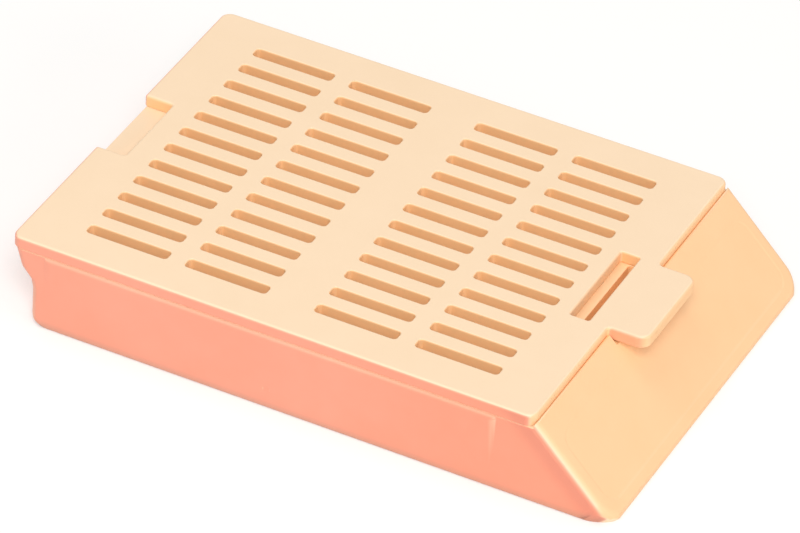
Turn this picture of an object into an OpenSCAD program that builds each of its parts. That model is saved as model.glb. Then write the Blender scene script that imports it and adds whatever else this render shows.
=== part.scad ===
// Tissue cassette: a slotted tray with a sloped writing plate, and the snap lid that closes it.
// Local frame of every module: x runs from the hinge line towards the writing plate,
// y is measured from the middle of the width, z from the surface that the tray stands on.

/* [Overall] */
// Height of the closed cassette, from its underside to the top of the lid
height = 6.3; // [5.5:0.1:9]
// Length of the lid from the hinge line to its front edge, without the finger tab
lid_length = 35.7; // [29:0.1:45]
// Width of the lid and of the tray's rim
lid_width = 28.2; // [22:0.1:36]

/* [Lid] */
// Thickness of the lid's plate and finger tab
lid_t = 0.85; // [0.6:0.05:1.4]
// Radius of the lid's corners seen from above
lid_corner_r = 0.7; // [0.3:0.1:2]

/* [Flow slots] */
// Width of one slot
slot_width = 0.85; // [0.5:0.05:1.3]
// Radius of a slot's corners
slot_corner_r = 0.25; // [0.1:0.05:0.25]
// Distance between the centres of neighbouring slots
slot_pitch = 2; // [1.6:0.1:3]
// Bar left between the two slots of a pair
pair_bar = 1.25; // [0.8:0.05:2.5]
// Bar left between the two pairs of a row
centre_bar = 3.3; // [2:0.1:6]
// Plain border between the ends of the lid and the nearest slots
end_border = 3.75; // [3.6:0.05:5]
// Least plain border between the chamber's sides and the nearest slots
side_border = 1; // [0.6:0.1:3]

/* [Tray] */
// Thickness of the tray's side, rear and front walls
wall_t = 1; // [0.7:0.05:1.4]
// Thickness of the tray's floor
floor_t = 0.9; // [0.6:0.05:1.5]
// Radius of the tray's upright corners, inside and outside
tray_corner_r = 0.7; // [0.3:0.1:1.5]
// Radius between the rear wall and the floor
rear_foot_r = 1.3; // [0.5:0.1:2]
// How far the side panels stand out from the walls at their top edge
panel_proud = 0.12; // [0.05:0.01:0.3]
// How far a side panel's top edge lies below the rim
panel_drop = 0.05; // [0.05:0.05:0.5]
// Distance from the hinge line to the rear end of a side panel
panel_rear = 2.3; // [1.8:0.1:4]
// Distance from the front end of a side panel to the front wall's outer face
panel_front = 0.05; // [0.05:0.05:1]

/* [Rear lip] */
// How far the lid stands out over the rear lip
lip_step = 0.12; // [0.05:0.01:0.5]
// Height of the rear lip's outer face
lip_face_h = 1.33; // [0.8:0.01:1.6]
// How far the lip's outer face leans in from top to bottom
lip_draft = 0.42; // [0.1:0.01:0.5]
// Distance from the hinge line to the rear wall's outer face
rear_wall_x = 1.35; // [1.2:0.05:1.6]

/* [Hinge] */
// Width of the notch in the lid's rear edge
notch_width = 6.3; // [4:0.1:10]
// Depth of the notch, which is also the inner radius of the hinge hook
notch_depth = 2; // [1.8:0.05:2.4]
// Thickness of the hinge hook
hinge_hook_t = 0.7; // [0.5:0.05:0.9]
// How far the hinge hook reaches round under the bar
hinge_hook_angle = 50; // [35:1:55]
// Running clearance between the hinge hook and its bar
hinge_gap = 0.08; // [0.05:0.01:0.1]
// Clearance on the outer side of the hinge hook
hinge_outer_gap = 0.15; // [0.1:0.05:0.3]

/* [Latch] */
// Width of the latch slot in the lid, and of the finger tab
latch_width = 7.4; // [4:0.1:10]
// Length of the latch slot
latch_slot_length = 1.3; // [0.9:0.05:1.5]
// Bar of the lid between the latch slot and the front edge
latch_bar = 1.3; // [1.1:0.05:1.6]
// How far the finger tab reaches past the lid's front edge
tab_reach = 2.6; // [1.5:0.1:4]
// Radius of the finger tab's corners
tab_corner_r = 0.8; // [0.3:0.1:1.2]
// Thickness of the latch hook's leg
latch_leg_t = 0.7; // [0.5:0.05:0.8]
// Distance between the catch and the latch hook's leg
catch_room = 0.7; // [0.3:0.05:0.8]
// How far the latch nose reaches under the catch
latch_bite = 0.25; // [0.15:0.05:0.35]
// Height of the latch nose
latch_nose_h = 0.8; // [0.6:0.05:1]
// Clearance round the latch nose, to the front wall and to the catch above it
latch_gap = 0.1; // [0.05:0.01:0.2]
// Room in front of the latch hook, into which it bends when the tab is lifted
latch_room = 0.3; // [0.2:0.05:0.4]
// Clearance at each side of both hooks
side_gap = 0.2; // [0.1:0.05:0.4]
// Clearance at each side of the finger tab
tab_gap = 0.1; // [0.05:0.05:0.3]

/* [Writing plate] */
// Angle between the writing plate and the floor
plate_angle = 45; // [40:1:50]
// Thickness of the writing plate
plate_t = 1.1; // [0.8:0.05:1.3]
// How far the lid's top stands above the top of the writing plate
lid_reveal = 0.33; // [0.2:0.01:0.5]
// Clearance between the lid's front edge and the writing plate
lid_gap = 0.08; // [0.05:0.01:0.2]
// Height of the upright land at the foot of the writing plate
toe_h = 0.4; // [0.2:0.05:0.8]
// Radius of the two lower corners of the writing plate
plate_corner_r = 1.9; // [1:0.1:4]
// Thickness of the top land that joins the front wall to the writing plate
land_t = 1; // [0.7:0.05:1.2]
// How far the relief under the finger tab is cut down into the top land and the plate
tab_relief = 0.2; // [0.1:0.05:0.9]

/* [Hidden] */
$fn = 64;

// Overlap that keeps cuts and joins from ending face to face
eps = 0.05;
// Length of the whole cassette along x, from the hinge line to the foot of the writing plate
length = lid_length + (height - lid_reveal - toe_h) / tan(plate_angle);
// Height of the rim that the lid rests on, which is also the height of the hinge line
rim_z = height - lid_t;

// Slots: the two pairs share the plate's length, and the rows fill the chamber's width
chamber_w = lid_width - 2 * wall_t;
slot_length = (lid_length - 2 * end_border - 2 * pair_bar - centre_bar) / 4;
slot_rows = floor((chamber_w - 2 * side_border - slot_width) / slot_pitch) + 1;
slot_inner_x = centre_bar / 2 + slot_length / 2;
slot_outer_x = slot_inner_x + slot_length + pair_bar;

// Latch: every place is counted back from the lid's front edge
leg_x = lid_length - latch_bar;
catch_x = leg_x - catch_room;
nose_x = catch_x - latch_bite;
nose_top_z = rim_z - land_t - latch_gap / 2;
front_wall_x = nose_x - latch_gap;
chamber_end_x = front_wall_x - wall_t;

// Widths of the hooks, which are moulded through the notch and the latch slot
hinge_hook_w = notch_width - 2 * side_gap;
latch_hook_w = latch_width - 2 * side_gap;

// Writing plate: where its outer and inner faces cross the rim's height, and how far down the slope
// from its top edge the corner curves end, which is just past the underside
plate_top_z = height - lid_reveal;
plate_rim_x = lid_length + (plate_top_z - rim_z) / tan(plate_angle);
plate_inner_x = plate_rim_x - plate_t / sin(plate_angle);
plate_end = (plate_top_z - toe_h) / sin(plate_angle) + toe_h * sin(plate_angle) + eps;

// Heights of a side panel's top edge, and of the line where it runs out into the wall
panel_top_z = rim_z - panel_drop;
panel_foot_z = floor_t;

// Rectangle with rounded corners, with its centre at the origin
module rounded_rect(size_x, size_y, r) {
    square([size_x - 2 * r, size_y], center = true);
    square([size_x, size_y - 2 * r], center = true);
    for (side_x = [-1, 1], side_y = [-1, 1])
        translate([side_x * (size_x / 2 - r), side_y * (size_y / 2 - r)])
            circle(r);
}

// Outline of a plate seen from above, from x0 to x1, with rounded corners at its ends
module plan_outline(x0, x1, width, r) {
    translate([(x0 + x1) / 2, 0])
        rounded_rect(x1 - x0, width, r);
}

// Extrudes an outline drawn in x and z across the width
module across(width) {
    translate([0, width / 2, 0])
        rotate([90, 0, 0])
            linear_extrude(width)
                children();
}

// Block between two corners
module block(low, high) {
    translate(low)
        cube(high - low);
}

// Flow slots through a plate that lies between two heights
module flow_slots(z0, z1) {
    translate([lid_length / 2, -(slot_rows - 1) * slot_pitch / 2, z0])
        for (row = [0 : slot_rows - 1], x = [-slot_outer_x, -slot_inner_x, slot_inner_x, slot_outer_x])
            translate([x, row * slot_pitch, 0])
                linear_extrude(z1 - z0)
                    rounded_rect(slot_length, slot_width, slot_corner_r);
}

// ---- Tray ----

// Side outline of the tray's walls and writing plate
module body_profile() {
    difference() {
        polygon([
            [rear_wall_x, 0],
            [length, 0],
            [length, toe_h],
            [lid_length + lid_gap, plate_top_z - lid_gap * tan(plate_angle)],
            [lid_length + lid_gap, rim_z],
            [rear_wall_x, rim_z],
        ]);
        translate([rear_wall_x - eps, -eps])
            difference() {
                square(rear_foot_r + eps);
                translate([rear_foot_r + eps, rear_foot_r + eps])
                    circle(rear_foot_r);
            }
    }
}

// Side outline of the rear lip, which leans in and then runs back to the wall at 45 degrees
module lip_profile() {
    face_foot_x = lip_step + lip_draft;
    face_foot_z = rim_z - lip_face_h;
    inner_x = rear_wall_x + wall_t;
    polygon([
        [lip_step, rim_z],
        [face_foot_x, face_foot_z],
        [rear_wall_x, face_foot_z - (rear_wall_x - face_foot_x)],
        [inner_x, face_foot_z - (rear_wall_x - face_foot_x)],
        [inner_x, rim_z],
    ]);
}

// Outer form of the tray
module tray_outer() {
    intersection() {
        across(lid_width)
            body_profile();
        linear_extrude(height)
            plan_outline(rear_wall_x, length + 2 * tray_corner_r, lid_width, tray_corner_r);
    }
    intersection() {
        across(lid_width)
            lip_profile();
        linear_extrude(height)
            plan_outline(lip_step, length, lid_width, tray_corner_r);
    }
}

// Panels that stand out from both side walls and run out towards the floor
module side_panels() {
    for (side = [0, 1])
        mirror([0, side, 0])
            translate([panel_rear, lid_width / 2, 0])
                rotate([90, 0, 90])
                    linear_extrude(front_wall_x - panel_front - panel_rear)
                        polygon([
                            [-eps, panel_foot_z],
                            [0, panel_foot_z],
                            [panel_proud, panel_top_z - panel_proud],
                            [0, panel_top_z],
                            [-eps, panel_top_z],
                        ]);
}

// Space inside the tray that holds the tissue
module chamber() {
    translate([0, 0, floor_t])
        linear_extrude(height)
            plan_outline(rear_wall_x + wall_t, chamber_end_x, chamber_w, tray_corner_r);
}

// Hollow between the front wall and the writing plate, open underneath
module plate_hollow() {
    top_z = rim_z - land_t;
    across(chamber_w)
        polygon([
            [front_wall_x, -eps],
            [front_wall_x, top_z],
            [plate_inner_x + land_t / tan(plate_angle), top_z],
            [plate_inner_x + (rim_z + eps) / tan(plate_angle), -eps],
        ]);
}

// Round space for the hinge hook, which leaves the hinge bar standing inside it
module hinge_window() {
    translate([0, 0, rim_z])
        across(hinge_hook_w + 2 * side_gap)
            difference() {
                circle(notch_depth + hinge_hook_t + hinge_outer_gap);
                circle(notch_depth - hinge_gap);
            }
}

// Hole in the top land for the latch hook, and the relief in the plate's top edge under the tab
module latch_window() {
    hole_end = leg_x + latch_leg_t + latch_room;
    half_w = latch_hook_w / 2 + side_gap;
    tab_half_w = latch_width / 2 + tab_gap;
    block([catch_x, -half_w, rim_z - land_t - eps], [hole_end, half_w, height]);
    block([hole_end - eps, -tab_half_w, rim_z - tab_relief], [length, tab_half_w, height]);
}

// Cuts the two lower corners of the writing plate round, square to its face
module plate_corner_cuts() {
    reach = plate_corner_r + 1;
    translate([lid_length, 0, plate_top_z])
        rotate([0, plate_angle, 0])
            for (side = [0, 1])
                mirror([0, side, 0])
                    translate([plate_end - plate_corner_r, lid_width / 2 - plate_corner_r, -height])
                        linear_extrude(2 * height)
                            difference() {
                                square(reach);
                                circle(plate_corner_r);
                            }
}

module base() {
    color([0.98, 0.73, 0.58])
        translate([-length / 2, 0, 0])
            difference() {
                union() {
                    tray_outer();
                    side_panels();
                }
                chamber();
                plate_hollow();
                flow_slots(-eps, floor_t + eps);
                hinge_window();
                latch_window();
                plate_corner_cuts();
            }
}

// ---- Lid ----

// Hook that hangs from the notch's inner edge and reaches round under the hinge bar
module hinge_hook() {
    outer_r = notch_depth + hinge_hook_t;
    translate([0, 0, rim_z])
        across(hinge_hook_w)
            difference() {
                circle(outer_r);
                circle(notch_depth);
                polygon([
                    [0, 0],
                    [2 * outer_r * cos(hinge_hook_angle), -2 * outer_r * sin(hinge_hook_angle)],
                    [-2 * outer_r, -2 * outer_r],
                    [-2 * outer_r, 2 * outer_r],
                    [2 * outer_r, 2 * outer_r],
                    [2 * outer_r, eps],
                    [0, eps],
                ]);
            }
}

// Hook that hangs in front of the latch slot, with its nose under the catch
module latch_hook() {
    foot_z = nose_top_z - latch_nose_h;
    across(latch_hook_w)
        polygon([
            [leg_x, rim_z + eps],
            [leg_x, nose_top_z],
            [nose_x, nose_top_z],
            [leg_x, foot_z],
            [leg_x + latch_leg_t, foot_z],
            [leg_x + latch_leg_t, rim_z + eps],
        ]);
}

// Finger tab, rounded at its outer corners
module finger_tab() {
    translate([0, 0, rim_z])
        linear_extrude(lid_t)
            plan_outline(leg_x, lid_length + tab_reach, latch_width, tab_corner_r);
}

module lid() {
    color([0.99, 0.88, 0.74])
        translate([-length / 2, 0, 0])
            difference() {
                union() {
                    translate([0, 0, rim_z])
                        linear_extrude(lid_t)
                            plan_outline(0, lid_length, lid_width, lid_corner_r);
                    finger_tab();
                    hinge_hook();
                    latch_hook();
                }
                flow_slots(rim_z - eps, height + eps);
                block([-1, -notch_width / 2, rim_z - eps], [notch_depth, notch_width / 2, height + 1]);
                block([leg_x - latch_slot_length, -latch_width / 2, rim_z - eps],
                      [leg_x, latch_width / 2, height + 1]);
            }
}

base();
lid();
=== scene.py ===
"""Tissue cassette: a slotted tray with a sloped writing plate, and the snap lid that closes it.

Both are single acetal mouldings. They are modelled in millimetres in a local frame whose x runs from
the hinge line towards the writing plate, whose y is measured from the middle of the width, and whose
z is the height above the underside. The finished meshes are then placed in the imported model's frame.
"""

import logging
import math
from collections.abc import Sequence
from dataclasses import asdict, dataclass, field
from enum import Enum

import bmesh
import bpy
import numpy as np
from mathutils import Matrix, Vector


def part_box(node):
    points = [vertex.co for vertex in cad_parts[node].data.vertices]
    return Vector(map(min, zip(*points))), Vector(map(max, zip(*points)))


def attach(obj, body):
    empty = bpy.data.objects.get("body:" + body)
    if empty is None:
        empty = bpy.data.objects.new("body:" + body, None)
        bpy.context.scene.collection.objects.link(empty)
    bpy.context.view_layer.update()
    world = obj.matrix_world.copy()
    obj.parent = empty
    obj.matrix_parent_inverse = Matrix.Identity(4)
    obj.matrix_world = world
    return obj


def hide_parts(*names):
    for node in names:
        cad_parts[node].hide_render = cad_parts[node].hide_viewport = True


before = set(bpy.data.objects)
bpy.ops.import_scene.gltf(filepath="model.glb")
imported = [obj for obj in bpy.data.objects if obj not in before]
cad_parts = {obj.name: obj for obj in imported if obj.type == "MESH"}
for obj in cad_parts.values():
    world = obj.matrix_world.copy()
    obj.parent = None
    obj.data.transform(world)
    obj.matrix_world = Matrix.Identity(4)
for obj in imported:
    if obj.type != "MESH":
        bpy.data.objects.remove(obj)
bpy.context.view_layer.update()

LOG = logging.getLogger("tissue_cassette")
MM = 0.001
WELD = 0.0005  # mm, points closer than this are one point
LEVEL = 0.999  # a face whose normal rises this much lies level
# Frame of an outline drawn in x and z and extruded across the width, from -y to +y
ACROSS = Matrix(((1, 0, 0, 0), (0, 0, 1, 0), (0, 1, 0, 0), (0, 0, 0, 1)))

Colour = tuple[float, float, float, float]
Corner = tuple[float, float, float]  # x, y and rounding radius
Station = tuple[float, float]  # inset and height
Level = tuple[list[Vector], float]  # a ring's points and its height
Span = tuple[float, float]  # where a range starts and ends
Inputs = dict[str | int, object]
Edge = bmesh.types.BMEdge
Face = bmesh.types.BMFace
Mesh = bpy.types.Mesh
Socket = bpy.types.NodeSocket
Thing = bpy.types.Object

WHITE: Colour = (1.0, 1.0, 1.0, 1.0)


def srgb(*channels: int) -> Colour:
    """Turns a display colour, of 0 to 255 a channel, into the linear one that a shader takes."""
    shares = [value / 255 for value in channels]
    return (*(v / 12.92 if v <= 0.04045 else ((v + 0.055) / 1.055) ** 2.4 for v in shares), 1.0)


def smooth_step(ramp: Span, values: np.ndarray) -> np.ndarray:
    """Returns 0 before a ramp, 1 after it and a smooth rise on it."""
    share = np.clip((values - ramp[0]) / (ramp[1] - ramp[0]), 0, 1)
    return share * share * (3 - 2 * share)


def in_scene(name: str, data: bpy.types.ID) -> Thing:
    """Makes an object and links it to the scene.

    Args:
        name: The object's name.
        data: Its mesh, lamp or camera.

    Returns:
        The object.
    """
    made = bpy.data.objects.new(name, data)
    bpy.context.scene.collection.objects.link(made)
    return made


# ---- Outlines and solids ----


@dataclass(frozen=True)
class EdgePoint:
    """One point of an outline, held as an arc centre, an outward direction and a signed radius."""

    centre: Vector
    outward: Vector
    radius: float

    def at(self, inset: float) -> Vector:
        """Returns the point after the whole outline has moved inwards by inset."""
        return self.centre + self.outward * (self.radius - inset)


@dataclass(frozen=True)
class Arc:
    """A rounded stretch of an outline, from one direction of its outward normal to another, in degrees.

    A positive radius is an outer corner, and a negative one is an inner corner.
    """

    x: float
    y: float
    radius: float
    start: float
    end: float

    def points(self, steps: int) -> list[EdgePoint]:
        """Divides the arc.

        Args:
            steps: Number of straight pieces in a quarter turn.

        Returns:
            The arc's points from its start to its end.
        """
        sweep = self.end - self.start
        count = max(1, math.ceil(abs(sweep) / 90 * steps))
        turns = [math.radians(self.start + sweep * k / count) for k in range(count + 1)]
        centre = Vector((self.x, self.y))
        return [EdgePoint(centre, Vector((math.cos(t), math.sin(t))), self.radius) for t in turns]


@dataclass(frozen=True)
class Outline:
    """A closed outline that runs counter-clockwise and can be moved inwards without losing a point."""

    points: tuple[EdgePoint, ...]

    @classmethod
    def of_arcs(cls, arcs: Sequence[Arc], steps: int = 8) -> "Outline":
        """Joins arcs, in their order, with straight lines, at steps pieces to a quarter turn."""
        return cls(tuple(point for arc in arcs for point in arc.points(steps)))

    @classmethod
    def of_corners(cls, corners: Sequence[Corner], steps: int = 8) -> "Outline":
        """Rounds each corner of a polygon.

        Args:
            corners: The corners, counter-clockwise.
            steps: Number of straight pieces in a quarter turn.

        Returns:
            The outline, with inner corners rounded outwards from the solid.
        """
        arcs = []
        for k, (x, y, radius) in enumerate(corners):
            before, after = corners[k - 1], corners[(k + 1) % len(corners)]
            side_in = Vector((y - before[1], before[0] - x)).normalized()
            side_out = Vector((after[1] - y, x - after[0])).normalized()
            start = math.degrees(math.atan2(side_in.y, side_in.x))
            turn = math.degrees(math.atan2(side_in.cross(side_out), side_in.dot(side_out)))
            signed = math.copysign(radius, turn)
            centre = Vector((x, y)) - (side_in + side_out) * (signed / (1 + side_in.dot(side_out)))
            arcs.append(Arc(centre.x, centre.y, signed, start, start + turn))
        return cls.of_arcs(arcs, steps)

    @classmethod
    def rectangle(cls, x: Span, y: Span, radius: float) -> "Outline":
        """Returns a rectangle over two ranges, with every corner rounded to the same radius."""
        places = ((x[0], y[0]), (x[1], y[0]), (x[1], y[1]), (x[0], y[1]))
        return cls.of_corners([(*place, radius) for place in places])

    @classmethod
    def plan(cls, low_x: float, high_x: float, half: float, radius: float) -> "Outline":
        """Returns a rectangle in plan that is centred on the width."""
        return cls.rectangle((low_x, high_x), (-half, half), radius)

    @classmethod
    def circle(cls, x: float, y: float, radius: float) -> "Outline":
        """Returns a circle."""
        return cls(tuple(Arc(x, y, radius, 0, 360).points(16)[:-1]))

    def ring(self, inset: float = 0.0) -> list[Vector]:
        """Returns the outline's points after it has moved inwards by inset."""
        return [point.at(inset) for point in self.points]

    def levels(self, stations: Sequence[Station]) -> list[Level]:
        """Returns the outline's ring at each station."""
        return [(self.ring(inset), height) for inset, height in stations]


def rounded_ends(low: float, high: float, low_r: float, high_r: float, steps: int = 4) -> list[Station]:
    """Stations of a solid whose edges are rounded at both ends.

    Args:
        low: Height of the lower end.
        high: Height of the upper end.
        low_r: Rounding radius at the lower end, which 0 leaves sharp.
        high_r: Rounding radius at the upper end, which 0 leaves sharp.
        steps: Number of straight pieces in each rounding.

    Returns:
        The stations from the bottom up.
    """
    stations = []
    for end, radius, way in ((low, low_r, 1), (high, high_r, -1)):
        turns = [math.radians(90 * k / steps) for k in range(steps + 1)] if radius else [math.pi / 2]
        part = [(radius * (1 - math.sin(a)), end + way * radius * (1 - math.cos(a))) for a in turns]
        stations += part[::way]
    return stations


def flared_ends(low: float, high: float, radius: float, steps: int = 4) -> list[Station]:
    """Stations of a cutter that leaves rounded edges where it passes through a plate's two faces.

    Args:
        low: Height of the plate's lower face.
        high: Height of the plate's upper face.
        radius: Rounding radius that the cutter leaves on both faces.
        steps: Number of straight pieces in each rounding.

    Returns:
        The stations from the bottom up.
    """
    past, clear = 1.0, 0.004
    stations = [(-radius, low - past)]
    stations += [
        (-radius * (1 - math.sin(a)), low - clear * math.cos(a) + radius * (1 - math.cos(a)))
        for a in (math.radians(90 * k / steps) for k in range(steps + 1))
    ]
    stations += [(inset, low + high - height) for inset, height in reversed(stations)]
    return stations


class Joining(Enum):
    """How one solid is combined with another."""

    ADD = "UNION"
    CUT = "DIFFERENCE"
    KEEP_INSIDE = "INTERSECT"


class Solid:
    """A closed mesh in the local frame, in millimetres, that can be joined with others."""

    def __init__(self, levels: Sequence[Level], place: Matrix | None = None) -> None:
        """Joins rings into a closed mesh.

        Args:
            levels: The rings from the bottom up, all with the same number of points.
            place: Where the rings' own frame lies in the local frame.
        """
        shape = bmesh.new()
        rings = [[shape.verts.new((p.x, p.y, height)) for p in points] for points, height in levels]
        count = len(rings[0])
        for lower, upper in zip(rings, rings[1:]):
            for k in range(count):
                following = (k + 1) % count
                shape.faces.new((lower[k], lower[following], upper[following], upper[k]))
        shape.faces.new(rings[0][::-1])
        shape.faces.new(rings[-1])
        bmesh.ops.transform(shape, matrix=place or Matrix(), verts=shape.verts)
        bmesh.ops.remove_doubles(shape, verts=shape.verts, dist=WELD)
        bmesh.ops.recalc_face_normals(shape, faces=shape.faces)
        self.object = in_scene("solid", bpy.data.meshes.new("solid"))
        shape.to_mesh(self.object.data)
        shape.free()

    @classmethod
    def across(cls, outline: Outline, half: float, radius: float = 0.0, lift: float = 0.0) -> "Solid":
        """Extrudes an outline, drawn in x and z, to half a width either side, with rounded edges."""
        place = Matrix.Translation((0, 0, lift)) @ ACROSS
        return cls(outline.levels(rounded_ends(-half, half, radius, radius)), place)

    def apply(self) -> None:
        """Replaces the solid's mesh by the one that its modifiers make, and drops them."""
        graph = bpy.context.evaluated_depsgraph_get()
        old = self.object.data
        mesh = bpy.data.meshes.new_from_object(self.object.evaluated_get(graph))
        self.object.modifiers.clear()
        self.object.data = mesh
        bpy.data.meshes.remove(old)

    def join(self, how: Joining, others: Sequence["Solid"]) -> "Solid":
        """Combines other solids with this one and uses them up.

        Args:
            how: What is done with them.
            others: The solids that are added, cut away or kept inside.

        Returns:
            This solid.
        """
        for other in others:
            modifier = self.object.modifiers.new("join", "BOOLEAN")
            modifier.operation = how.value
            modifier.solver = "MANIFOLD"
            modifier.object = other.object
            self.apply()
            bpy.data.objects.remove(other.object)
        return self

    def add(self, *others: "Solid") -> "Solid":
        """Adds other solids to this one and returns it."""
        return self.join(Joining.ADD, others)

    def cut(self, *others: "Solid") -> "Solid":
        """Cuts other solids out of this one and returns it."""
        return self.join(Joining.CUT, others)

    def keep_inside(self, *others: "Solid") -> "Solid":
        """Keeps only what lies inside the other solids too, and returns this one."""
        return self.join(Joining.KEEP_INSIDE, others)


# ---- Node trees ----


class Side(Enum):
    """The side of a node tree that a socket is on."""

    INPUT = "INPUT"
    OUTPUT = "OUTPUT"


class TreeBuilder:
    """Adds nodes to a geometry or shader tree and links them as they are added."""

    def __init__(self, tree: bpy.types.NodeTree) -> None:
        """Holds the tree that is built."""
        self.tree = tree

    @classmethod
    def emptied(cls, owner: bpy.types.Material | bpy.types.World) -> "TreeBuilder":
        """Empties the node tree of a material or a world.

        Args:
            owner: The material or the world.

        Returns:
            The tree's builder.
        """
        owner.use_nodes = True
        owner.node_tree.nodes.clear()
        return cls(owner.node_tree)

    def socket(self, name: str, kind: str, side: Side = Side.INPUT) -> str:
        """Adds a named socket of a kind, such as Float, to the tree and returns its identifier."""
        interface = self.tree.interface
        return interface.new_socket(name, in_out=side.value, socket_type=f"NodeSocket{kind}").identifier

    def add(self, kind: str, inputs: Inputs | None = None, **settings: object) -> bpy.types.Node:
        """Adds a node.

        Args:
            kind: The node's type.
            inputs: A value, or a socket or sockets to link, for each input by its name or number.
            settings: The node's own settings.

        Returns:
            The node.
        """
        node = self.tree.nodes.new(kind)
        for name, value in settings.items():
            setattr(node, name, value)
        for name, value in (inputs or {}).items():
            for source in value if isinstance(value, list) else [value]:
                if isinstance(source, Socket):
                    self.tree.links.new(source, node.inputs[name])
                else:
                    node.inputs[name].default_value = source
        return node

    def shade(self, kind: str, inputs: Inputs | None = None, **settings: object) -> Socket:
        """Adds a node of the shader family and returns its first output."""
        return self.add(f"ShaderNode{kind}", inputs, **settings).outputs[0]

    def math(self, operation: str, a: object, b: object = 0.0) -> Socket:
        """Returns the result of a Math node."""
        return self.shade("Math", {0: a, 1: b}, operation=operation)

    def mix(self, share: object, a: Socket, b: Socket, blend: str = "MIX") -> Socket:
        """Returns a mix of two colours."""
        inputs = {0: share, 6: a, 7: b}
        return self.add("ShaderNodeMix", inputs, data_type="RGBA", blend_type=blend).outputs[2]

    def mask(self, name: str) -> Socket:
        """Returns one of the masks that the finished meshes carry."""
        return self.add("ShaderNodeAttribute", attribute_name=name).outputs["Fac"]

    def noise(self, place: Socket, size: Socket, detail: float, roughness: float) -> Socket:
        """Returns a noise whose clouds have a size in metres."""
        inputs = {"Vector": place, "Scale": self.math("DIVIDE", 1.0, size)}
        return self.shade("TexNoise", {**inputs, "Detail": detail, "Roughness": roughness})


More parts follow.
